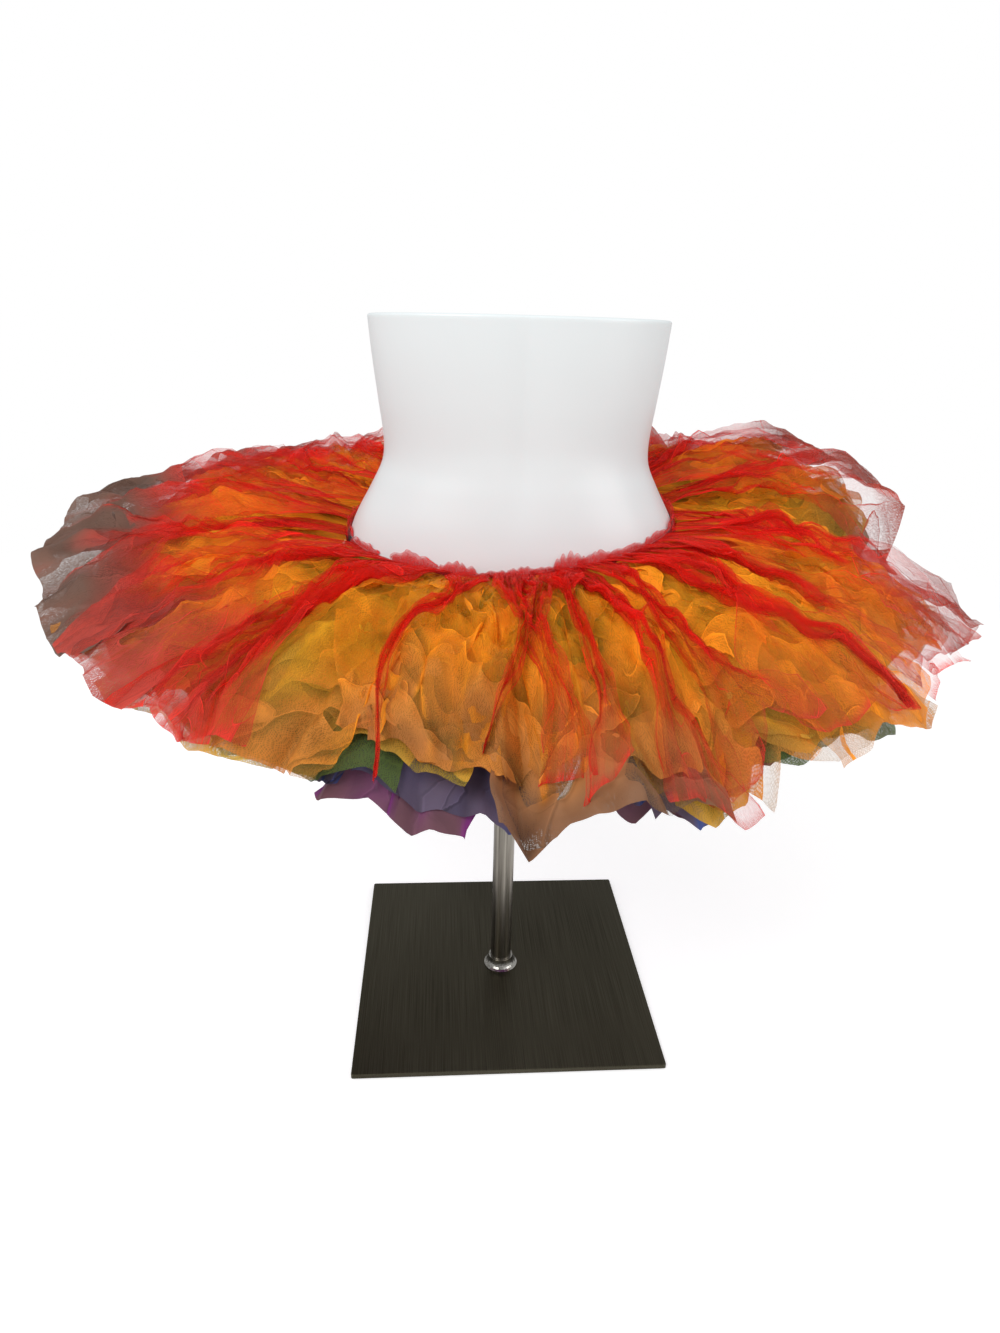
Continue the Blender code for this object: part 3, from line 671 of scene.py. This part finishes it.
def cell_place(points):
    """Azimuth and share of the way out of each point, in cells of the ceiling."""
    spot = np.mod(np.degrees(np.arctan2(points[..., 0], -points[..., 1])), 360)
    inner = np.interp(spot, CEILING_AZIMUTHS, CEILING_INNER)
    out = np.hypot(points[..., 0], points[..., 1])
    share = (out - inner) / (around(HEMLINE, spot, 1) - inner)
    return spot / 360 * CEILING_CELLS[0], np.clip(share, 0, 1) * (CEILING_CELLS[1] - 1)


def neighbours(grid):
    """The four grids shifted by one cell, wrapped round and held at the two rims."""
    return [np.roll(grid, 1, 0), np.roll(grid, -1, 0),
            np.hstack([grid[:, 1:], grid[:, -1:]]), np.hstack([grid[:, :1], grid[:, :-1]])]


def underside(patches, above):
    """How low a ring hangs in each cell, for the next ring to stay under."""
    around_n, out_n = CEILING_CELLS
    places = [cell_place(patch[0]) for patch in patches]
    cell = np.concatenate([((np.floor(a).astype(int) % around_n) * out_n
                            + np.round(b).astype(int)).ravel() for a, b in places])
    height = np.concatenate([patch[0][..., 2].ravel() for patch in patches])
    count = np.bincount(cell, minlength=around_n * out_n).reshape(CEILING_CELLS)
    total = np.bincount(cell, height, minlength=around_n * out_n).reshape(CEILING_CELLS)
    low = np.full(around_n * out_n, 9.0)
    np.minimum.at(low, cell, height)
    mean = total / np.maximum(count, 1)
    floor = np.where(count > 0, mean - 0.5 * (mean - low.reshape(CEILING_CELLS)), np.nan)
    for _ in range(40):
        near = np.nanmean(np.stack(neighbours(floor) + [floor]), axis=0)
        floor = np.where(np.isnan(floor), near, floor)
        if not np.isnan(floor).any():
            break
    floor = 0.6 * floor + 0.1 * sum(neighbours(floor))
    return floor if above is None else np.minimum(floor, above - 0.0006)


def press_under(points, ceiling, gap=0.0008):
    """Lowers cloth that would stand through the ring above, a broad piece at a time, so
    that its own creases keep their shape."""
    a, b = cell_place(points)
    a = a - 0.5
    i, j = np.floor(a).astype(int), np.clip(np.floor(b).astype(int), 0, CEILING_CELLS[1] - 2)
    s, t = a - i, b - j
    n = CEILING_CELLS[0]
    top = ((1 - s) * (1 - t) * ceiling[i % n, j] + s * (1 - t) * ceiling[(i + 1) % n, j]
           + (1 - s) * t * ceiling[i % n, j + 1] + s * t * ceiling[(i + 1) % n, j + 1])
    drop = np.clip(points[..., 2] - top + gap, 0, None)
    for step in range(9):
        near = [np.vstack([drop[:1], drop[:-1]]), np.vstack([drop[1:], drop[-1:]]),
                np.hstack([drop[:, :1], drop[:, :-1]]), np.hstack([drop[:, 1:], drop[:, -1:]])]
        drop = np.maximum.reduce([drop] + near) if step < 3 else 0.4 * drop + 0.15 * sum(near)
    points[..., 2] -= drop * (1 - 0.7 * smooth(0.80, 1.0, np.clip(b / CEILING_CELLS[1], 0, 1)))


def make_layer(order, above):
    name, colour, ply, cols, rows, strips, first, seed = LAYERS[order]
    rng = np.random.default_rng(seed)
    patches, area, total = [], 0.0, 0.0
    spots = ([(r[0], r) for r in RED] if order == 0 else
             [(first + 360.0 * i / strips + rng.uniform(-3, 3), None) for i in range(strips)])
    if order == 1:
        # the first one's corner is the lowest tip, in front, and the next one closes up to it
        spots[0], spots[1] = (spots[0][0] - 5.0, None), (spots[1][0] - 4.0, None)
    for i, (azimuth, given) in enumerate(spots):
        width = 0.150 * rng.uniform(0.97, 1.03)
        reach, height = uneven(order, azimuth)
        sine = math.sin(math.radians(azimuth))
        back = (1 - math.cos(math.radians(azimuth))) / 2
        pitch_m = float(band_inside(azimuth)) * 2 * math.pi / len(spots)
        look = dict(
            reach_more=-SHORTER[order] + reach, height_more=height,
            width=width, place=pitch_m * 1.25, slack=rng.uniform(1.028, 1.045) - 0.018 * back,
            roll=3.5 * sine + rng.uniform(-1, 1), wave=rng.uniform(0.011, 0.016),
            curl=(rng.choice([0.0, 0.0, 2.2]) * (1 - back), rng.choice([0.0, 0.0, 2.2]) * (1 - back)),
            shift=0.37 * i,
            relief=(1.0, 0.8, 0.4, 0.3, 0.3, 0.3)[order],
            hem=(0.60, 0.20 + 0.78 * math.exp(-(((azimuth + 2 + 180) % 360 - 180) / 7) ** 2), 0.30,
                 0.70, 0.95, 0.95)[order],
            web_look=(0.018, 0.040, 0.35, 0.5, 1.0) if order == 0 else (0.030, 0.070, 1.2, 0.45, 1.0))
        if given:
            _, skew, hold, rope_end, rope_width, opened, slant, r_more, z_more, dusk, veil = given
            look.update(skew=skew, hold=hold, big=0.5, pinch=(0.6, 0.3), slant=slant,
                        rope=(rope_end, rope_width, opened), tucks=random_tucks(rng, 5, 0.85), dusk=dusk,
                        twist=rng.uniform(-6, 6), sway=0.010 if rope_end else 0.006)
            look["hem"] *= min(dusk / 0.8, 1.0) * veil
            look["veil"] = veil
            look["web_look"] = (0.018, 0.040, 0.35, 0.5, 1.0) if dusk < 1 else (0.045, 0.080, 0.6, 0.5, 0.4)
            look["reach_more"] += r_more
            look["height_more"] += z_more
        else:
            # the orange ring dulls least on the right, most at its lowest corner in front
            off = (azimuth + 2 + 180) % 360 - 180
            orange_dusk = (0.40 + 0.25 * (1 - back) ** 6 + 0.30 * math.exp(-(off / 9) ** 2)
                           - 0.24 * math.exp(-((azimuth - 65) / 34) ** 4))
            look.update(
                skew=rng.uniform(-6, 6), hold=rng.uniform(0.14, 0.24), big=rng.choice([0.4, 0.7, 1.1]),
                tucks=random_tucks(rng, 5, 0.7), pinch=(rng.uniform(0.4, 0.7), rng.choice([0.0, 0.3])),
                twist=rng.uniform(-3, 3), slant=rng.uniform(-0.012, 0.012) * (1 if order < 4 else 0.3),
                crumple=(1.0, 2.0, 1.2, 0.6, 0.6, 0.6)[order],
                dusk=(0.5, orange_dusk, 0.5, 0.5, 0.8, 0.9)[order])
            look["reach_more"] += rng.uniform(-0.010, 0.002) * (1 if order < 4 else 0.4)
        patch = tulle_strip(rng, azimuth, order, cols, rows, colour, ply, **look)
        if above is not None:
            press_under(patch[0], above)
        patches.append(patch)
        total += width
        area += width * patch[1][-1, 0, 1]
    obj = grid_object(name, patches, tulle(name, (2.2, 0.7, 0.6, 0.5, 0.5, 0.5)[order],
                                           (0.65, 1.00, 0.60, 0.2, 0.2, 0.2)[order],
                                           (0.0, 0.36, 0.30, 0.0, 0.0, 0.0)[order],
                                           (0.66, 0.52, 0.54, 0.36, 0.32, 0.32)[order]))
    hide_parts(NODES[order])
    return underside(patches, above)


# ------------------------------------------------------------------ loops over the elastic
LOOPS = (
    # azimuth, flat width, laid width, height, lean
    (-84, 0.075, 0.040, 0.0075, 0.2), (-67, 0.075, 0.040, 0.0060, 0.1),
    (-45, 0.085, 0.040, 0.0100, -0.4), (-28, 0.060, 0.030, 0.0080, -0.6),
    (-12, 0.040, 0.024, 0.0030, 0.0), (-1, 0.050, 0.024, 0.0050, -0.4),
    (10, 0.055, 0.026, 0.0040, 0.1), (20, 0.070, 0.026, 0.0110, -0.2),
    (31, 0.065, 0.030, 0.0085, -0.5), (45, 0.080, 0.036, 0.0060, -0.3),
    (60, 0.080, 0.036, 0.0065, -0.5), (74, 0.075, 0.038, 0.0070, 0.2),
    (88, 0.075, 0.036, 0.0080, 0.4), (100, 0.075, 0.034, 0.0090, 0.2),
    (114, 0.070, 0.034, 0.0120, 0.4), (131, 0.075, 0.036, 0.0080, 0.1),
    (150, 0.070, 0.034, 0.0130, 0.5), (168, 0.080, 0.034, 0.0090, 0.2),
    (186, 0.070, 0.034, 0.0140, 0.6), (205, 0.075, 0.036, 0.0080, 0.2),
    (224, 0.070, 0.036, 0.0120, 0.4), (241, 0.075, 0.034, 0.0090, 0.1),
    (256, 0.060, 0.030, 0.0070, 0.3), (264, 0.070, 0.034, 0.0075, 0.1),
)


def make_loops():
    """Where each strip passes over the elastic it stands up as a small gathered arch."""
    rng = np.random.default_rng(5)
    cols, rows = 72, 18
    patches, width_total, area = [], 0.0, 0.0
    for azimuth, flat, laid, height, lean in LOOPS:
        u = np.linspace(-0.5, 0.5, cols + 1)
        t = np.linspace(0, 1, rows + 1)
        U, T = np.meshgrid(u, t)
        # the gathers: a ribbon that keeps its flat width
        swing = 1.25 * (0.75 + 0.25 * wander(rng, U, 3))
        turn = swing * np.sin(2 * np.pi * (U * flat / 0.0170 + 0.5 * wander(rng, U + 0.2 * T, 3))
                              + rng.uniform(0, 6))
        du = flat / cols
        mid = (turn[:, 1:] + turn[:, :-1]) / 2
        zero = np.zeros((rows + 1, 1))
        x = np.hstack([zero, np.cumsum(np.cos(mid), axis=1)]) * du
        h = np.hstack([zero, np.cumsum(np.sin(mid), axis=1)]) * du
        x = x - x.mean(axis=1, keepdims=True)
        x *= laid / (x.max(axis=1, keepdims=True) - x.min(axis=1, keepdims=True))
        h = h - h.mean(axis=1, keepdims=True)
        r_band = float(band_inside(azimuth)) + BAND_THICK
        spot = azimuth + np.degrees(x / r_band)
        top = band_middle(spot) + BAND_HEIGHT / 2
        crest = height * (0.30 + 0.70 * np.sqrt(np.clip(1 - (2 * U) ** 2, 0, 1)))
        crest = crest * (1 + 0.30 * wander(rng, U * 2.2 + 0 * T, 4))
        bow = np.pi * T
        z = top + crest * np.sin(bow) ** 0.8 - 0.0045 * np.clip(1 - T / 0.22, 0, 1)
        middle = band_snug(spot, z) + BAND_THICK * 0.5
        r = (middle + (0.0014 + 0.0012 * np.sin(bow)) * np.cos(bow)
             + (0.0022 * lean + 0.30 * h) * np.sin(bow))
        r = np.where(T < 0.25, np.maximum(r, band_snug(spot, z) + BAND_THICK + 0.0006), r)
        r = np.maximum(r, form_radius(spot, z) + 0.0007)
        a = np.radians(spot)
        points = np.stack([r * np.sin(a), -r * np.cos(a), z], axis=2)
        rim = np.exp(-((T - 0.5) / 0.04) ** 2)
        foot = 1 - smooth(0.10, 0.38, np.minimum(T, 1 - T))
        cover = np.clip(0.12 + 0.62 * rim + 0.34 * foot + 0.10 * np.abs(np.sin(turn)), 0, 0.92)
        tone = np.zeros((rows + 1, cols + 1, 4)) + [0.72, 0.030, 0.028, 0]
        tone[..., 3] = cover
        step = np.linalg.norm(np.diff(points, axis=0), axis=2).sum(axis=0)
        length = float(step.mean())
        width = float(np.linalg.norm(np.diff(points, axis=1), axis=2).sum(axis=1).mean())
        uv = np.stack([(U + 0.5) * width, T * length], axis=2)
        patches.append((points, uv, tone, False))
        width_total += width
        area += width * length
    obj = grid_object("tulle_loops", patches, tulle("tulle_loops"))
    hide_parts("header_frill")


# ------------------------------------------------------------------ elastic
def make_waistband():
    """Ribbed elastic, stretched round the form a little clear of it."""
    cols, ribs = 300, 15
    rows = ribs * 4
    a = np.arange(cols) * 360.0 / cols
    t = np.linspace(-0.5, 0.5, rows + 1)
    A, T = np.meshgrid(a, t)
    rib = 0.5 - 0.5 * np.cos(2 * np.pi * ribs * (T + 0.5))
    z = band_middle(A) + T * BAND_HEIGHT
    r = band_snug(A, z) + BAND_THICK - 0.00035 + 0.0003 * rib
    points = np.stack([r * np.sin(np.radians(A)), -r * np.cos(np.radians(A)), z], axis=2)
    run = np.hypot(np.diff(np.append(points[0, :, 0], points[0, 0, 0])),
                   np.diff(np.append(points[0, :, 1], points[0, 0, 1])))
    around_m = np.concatenate([[0], np.cumsum(run)[:-1]])
    uv = np.stack([np.broadcast_to(around_m, A.shape), T * BAND_HEIGHT], axis=2)
    tone = np.zeros((rows + 1, cols, 4)) + [0.012, 0.012, 0.014, 1]

    n = Nodes("elastic_black")
    tex = n.add("UVMap", uv_map="cut")
    xy = n.add("SeparateXYZ", {0: tex.outputs["UV"]})
    knit = n.math("MULTIPLY", n.math("SINE", n.math("MULTIPLY", xy.outputs[0], 2 * math.pi / 0.0009)),
                  n.math("SINE", n.math("MULTIPLY", xy.outputs[1], 2 * math.pi / 0.0008)))
    fuzz = n.add("TexNoise", {"Vector": tex.outputs["UV"], "Scale": 700.0, "Detail": 3.0})
    shade = n.add("ValToRGB", {"Fac": fuzz.outputs["Fac"]})
    shade.color_ramp.elements[0].color = (0.004, 0.004, 0.0045, 1)
    shade.color_ramp.elements[1].color = (0.016, 0.0155, 0.017, 1)
    bump = n.add("Bump", {"Height": knit, "Strength": 0.6, "Distance": 0.0002})
    shader = n.add("BsdfPrincipled", {"Base Color": shade.outputs["Color"], "Roughness": 0.78,
                                      "Specular IOR Level": 0.25, "Sheen Weight": 0.3,
                                      "Sheen Roughness": 0.5, "Normal": bump.outputs["Normal"]})
    obj = grid_object("waistband_ribbed", [(points, uv, tone, True)], n.surface(shader.outputs[0]))
    wall = obj.modifiers.new("wall", "SOLIDIFY")
    wall.thickness, wall.offset = 0.0011, -1.0
    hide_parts("waistband")


# ------------------------------------------------------------------ dress form
def make_form():
    """The moulded form: smooth all over, with a soft hollow down the middle of the front
    and back, a flat top with an eased rim, and its underside turned in round the pole."""
    cols = 300
    a = np.arange(cols) * 360.0 / cols
    heights = np.concatenate([FORM_BOTTOM + 0.012 * np.linspace(0, 1, 9)[:-1] ** 2,
                              np.linspace(FORM_BOTTOM + 0.012, FORM_TOP - 0.0022, 140)])
    rows = []
    for z in heights:
        r = form_radius(a, np.full_like(a, z))
        off = (a + 180) % 360 - 180
        high = smooth(0.490, 0.560, z)
        r = r - 0.0016 * high * np.exp(-(off / 7.0) ** 2)
        r = r + 0.0009 * high * (np.exp(-((off - 20) / 12.0) ** 2)
                                 + np.exp(-((off + 20) / 12.0) ** 2))
        r = r - 0.0022 * high * np.exp(-((np.abs(off) - 180) / 9.0) ** 2)
        rows.append((r, z))
    base = rows[0][0]
    last = rows[-1][0]
    bore = POLE_RADIUS + GAP
    under = [(np.full_like(a, bore), FORM_BOTTOM + 0.004), (np.full_like(a, bore), FORM_BOTTOM - 0.0019)]
    under += [(bore + (base - bore) * k, FORM_BOTTOM - 0.0019 * (1 - k ** 3)) for k in
              (0.15, 0.35, 0.6, 0.8, 0.93)]
    rim = [(last - 0.0022 * (1 - math.cos(q)), FORM_TOP - 0.0022 * (1 - math.sin(q)))
           for q in np.radians((18, 36, 54, 72, 90))]
    flat = [((last - 0.0022) * k, FORM_TOP) for k in (0.97, 0.8, 0.5, 0.2, 0.02)]
    rows = under + rows + rim + flat
    points = np.stack([np.stack([r * np.sin(np.radians(a)), -r * np.cos(np.radians(a)),
                                 np.full_like(a, z)], axis=1) for r, z in rows])
    v = np.arange(len(rows)) * 0.004
    uv = np.stack(np.meshgrid(a / 360 * 0.8, v), axis=2)
    tone = np.ones((len(rows), cols, 4))

    n = Nodes("form_white")
    where = n.add("TexCoord").outputs["Object"]
    cloud = n.add("TexNoise", {"Vector": where, "Scale": 9.0, "Detail": 3.0})
    tint = n.add("ValToRGB", {"Fac": cloud.outputs["Fac"]})
    tint.color_ramp.elements[0].color = (0.72, 0.775, 0.785, 1)
    tint.color_ramp.elements[1].color = (0.76, 0.815, 0.825, 1)
    peel = n.add("TexNoise", {"Vector": where, "Scale": 260.0, "Detail": 1.0})
    dull = n.math("MULTIPLY_ADD", cloud.outputs["Fac"], 0.14, 0.24)
    bump = n.add("Bump", {"Height": peel.outputs["Fac"], "Strength": 0.05, "Distance": 0.0004})
    shader = n.add("BsdfPrincipled", {"Base Color": tint.outputs["Color"], "Roughness": dull,
                                      "Specular IOR Level": 0.42, "Normal": bump.outputs["Normal"]})
    obj = grid_object("form_shell", [(points, uv, tone, True)], n.surface(shader.outputs[0]))
    import bmesh
    bm = bmesh.new()
    bm.from_mesh(obj.data)
    top = [e for e in bm.edges if e.is_boundary and e.verts[0].co.z > FORM_TOP - 1e-5]
    bmesh.ops.contextual_create(bm, geom=top)
    bmesh.ops.recalc_face_normals(bm, faces=bm.faces)
    bm.to_mesh(obj.data)
    bm.free()
    obj.data.polygons.foreach_set("use_smooth", np.ones(len(obj.data.polygons), dtype=bool))
    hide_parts("dress_form")


# ------------------------------------------------------------------ stand
def brushed(name, dark, light, rough, along, across, bump_strength=0.25):
    """Brushed metal: streaks stretched along one direction, uneven in tone and roughness; on the pole the light
    and dark streaks of tone are also painted reflection.
    `along` and `across` are the noise scales for each axis, in 1/m."""
    n = Nodes(name)
    where = n.add("TexCoord").outputs["Object"]
    grain = n.add("Mapping", {"Vector": where, "Scale": across})
    fine = n.add("TexNoise", {"Vector": grain.outputs[0], "Scale": 1.0, "Detail": 4.0,
                              "Roughness": 0.6})
    wide = n.add("Mapping", {"Vector": where, "Scale": along})
    broad = n.add("TexNoise", {"Vector": wide.outputs[0], "Scale": 1.0, "Detail": 2.0})
    mix = n.math("ADD", n.math("MULTIPLY", fine.outputs["Fac"], 0.55),
                 n.math("MULTIPLY", broad.outputs["Fac"], 0.45))
    tint = n.add("ValToRGB", {"Fac": mix})
    tint.color_ramp.elements[0].position = 0.36
    tint.color_ramp.elements[0].color = dark + (1,)
    tint.color_ramp.elements[1].position = 0.66
    tint.color_ramp.elements[1].color = light + (1,)
    dull = n.math("MULTIPLY_ADD", fine.outputs["Fac"], 0.16, rough - 0.08)
    bump = n.add("Bump", {"Height": fine.outputs["Fac"], "Strength": bump_strength,
                          "Distance": 0.00008})
    shader = n.add("BsdfPrincipled", {"Base Color": tint.outputs["Color"], "Metallic": 1.0,
                                      "Roughness": dull, "Normal": bump.outputs["Normal"]})
    return n.surface(shader.outputs[0])


def dress_stand():
    """The stand's own solids, with better metals."""
    looks = {
        "base_plate": brushed("base_steel", (0.030, 0.026, 0.016), (0.085, 0.078, 0.055), 0.40,
                              (5.0, 1.5, 5.0), (1400.0, 9.0, 1400.0)),
        # the pole's broad light and dark streaks around it are partly grain and partly painted reflection
        "pole": brushed("pole_steel", (0.070, 0.062, 0.050), (0.40, 0.37, 0.32), 0.30,
                        (75.0, 75.0, 1.2), (420.0, 420.0, 7.0)),
        "pole_collar": brushed("collar_steel", (0.16, 0.15, 0.13), (0.50, 0.49, 0.46), 0.20,
                               (90.0, 90.0, 60.0), (500.0, 500.0, 300.0), 0.1),
    }
    for node, mat in looks.items():
        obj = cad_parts[node]
        obj.data.materials.clear()
        obj.data.materials.append(mat)


make_form()
make_waistband()
make_loops()
above = None
for order in range(6):
    above = make_layer(order, above)
dress_stand()


# ------------------------------------------------------------------ stage, light, camera
def make_stage():
    # a pale floor that fades out into a white backdrop all round
    sides, radius = 64, 2.6
    ring = [(radius * math.cos(2 * math.pi * i / sides), radius * math.sin(2 * math.pi * i / sides),
             -0.001) for i in range(sides)]
    floor = bpy.data.meshes.new("floor")
    floor.from_pydata(ring, [], [tuple(range(sides))])
    n = Nodes("pale floor")
    where = n.add("TexCoord").outputs["Object"]
    away = n.add("VectorMath", {0: where}, operation="LENGTH").outputs["Value"]
    fade = n.math("MULTIPLY_ADD", away, -1 / 1.5, 2.4 / 1.5, clamp=True)
    matt = n.add("BsdfPrincipled", {"Base Color": (0.72, 0.72, 0.72, 1), "Roughness": 0.8,
                                    "Specular IOR Level": 0.2,
                                    "Emission Color": (1, 1, 1, 1), "Emission Strength": 0.50})
    clear = n.add("BsdfTransparent")
    mix = n.add("MixShader", {"Fac": fade, 1: clear.outputs[0], 2: matt.outputs[0]})
    floor.materials.append(n.surface(mix.outputs[0]))
    obj = bpy.data.objects.new("floor", floor)
    bpy.context.scene.collection.objects.link(obj)

    bpy.ops.mesh.primitive_uv_sphere_add(radius=30, segments=48, ring_count=24)
    dome = bpy.context.object
    dome.name = "backdrop"
    n = Nodes("white backdrop")
    glow = n.add("Emission", {"Color": (1, 1, 1, 1), "Strength": 1.0})
    dome.data.materials.append(n.surface(glow.outputs[0]))
    dome.visible_diffuse = dome.visible_glossy = dome.visible_shadow = False
    dome.visible_transmission = dome.visible_volume_scatter = False

    world = bpy.data.worlds.new("studio")
    world.use_nodes = True
    world.node_tree.nodes["Background"].inputs["Color"].default_value = (1.0, 1.0, 1.0, 1)
    world.node_tree.nodes["Background"].inputs["Strength"].default_value = 0.62
    bpy.context.scene.world = world

    def area(name, place, aim, size, power):
        light = bpy.data.lights.new(name, "AREA")
        light.shape = "RECTANGLE"
        light.size, light.size_y = size
        light.energy = power
        o = bpy.data.objects.new(name, light)
        o.location = place
        d = np.array(aim) - np.array(place)
        from mathutils import Vector
        o.rotation_euler = Vector(d).to_track_quat("-Z", "Y").to_euler()
        bpy.context.scene.collection.objects.link(o)

    area("key", (-1.3, -1.5, 2.1), (0, 0, 0.45), (1.4, 1.0), 34)
    area("fill", (1.7, -1.0, 1.3), (0, 0, 0.45), (1.2, 1.2), 12)


def make_camera():
    cam = bpy.data.cameras.new("camera")
    cam.lens = 36.0 * 849.0 / 1333.0
    cam.sensor_width = 36.0
    cam.sensor_fit = "AUTO"
    cam.clip_start = 0.01
    obj = bpy.data.objects.new("camera", cam)
    from mathutils import Matrix
    right = np.array([0.99762903, -0.06434141, 0.02442352])
    upv = np.array([0.00042675, 0.36066163, 0.93269663])
    fwd = np.array([0.06881964, 0.93047481, -0.35983397])
    place = np.array([-0.06518089, -0.75926046, 0.650])
    m = Matrix(((right[0], upv[0], -fwd[0], place[0]), (right[1], upv[1], -fwd[1], place[1]),
                (right[2], upv[2], -fwd[2], place[2]), (0, 0, 0, 1)))
    obj.matrix_world = m
    bpy.context.scene.collection.objects.link(obj)
    bpy.context.scene.camera = obj


make_stage()
make_camera()
scene = bpy.context.scene
scene.view_settings.view_transform = "Standard"
scene.cycles.transparent_max_bounces = 48
bpy.context.view_layer.update()
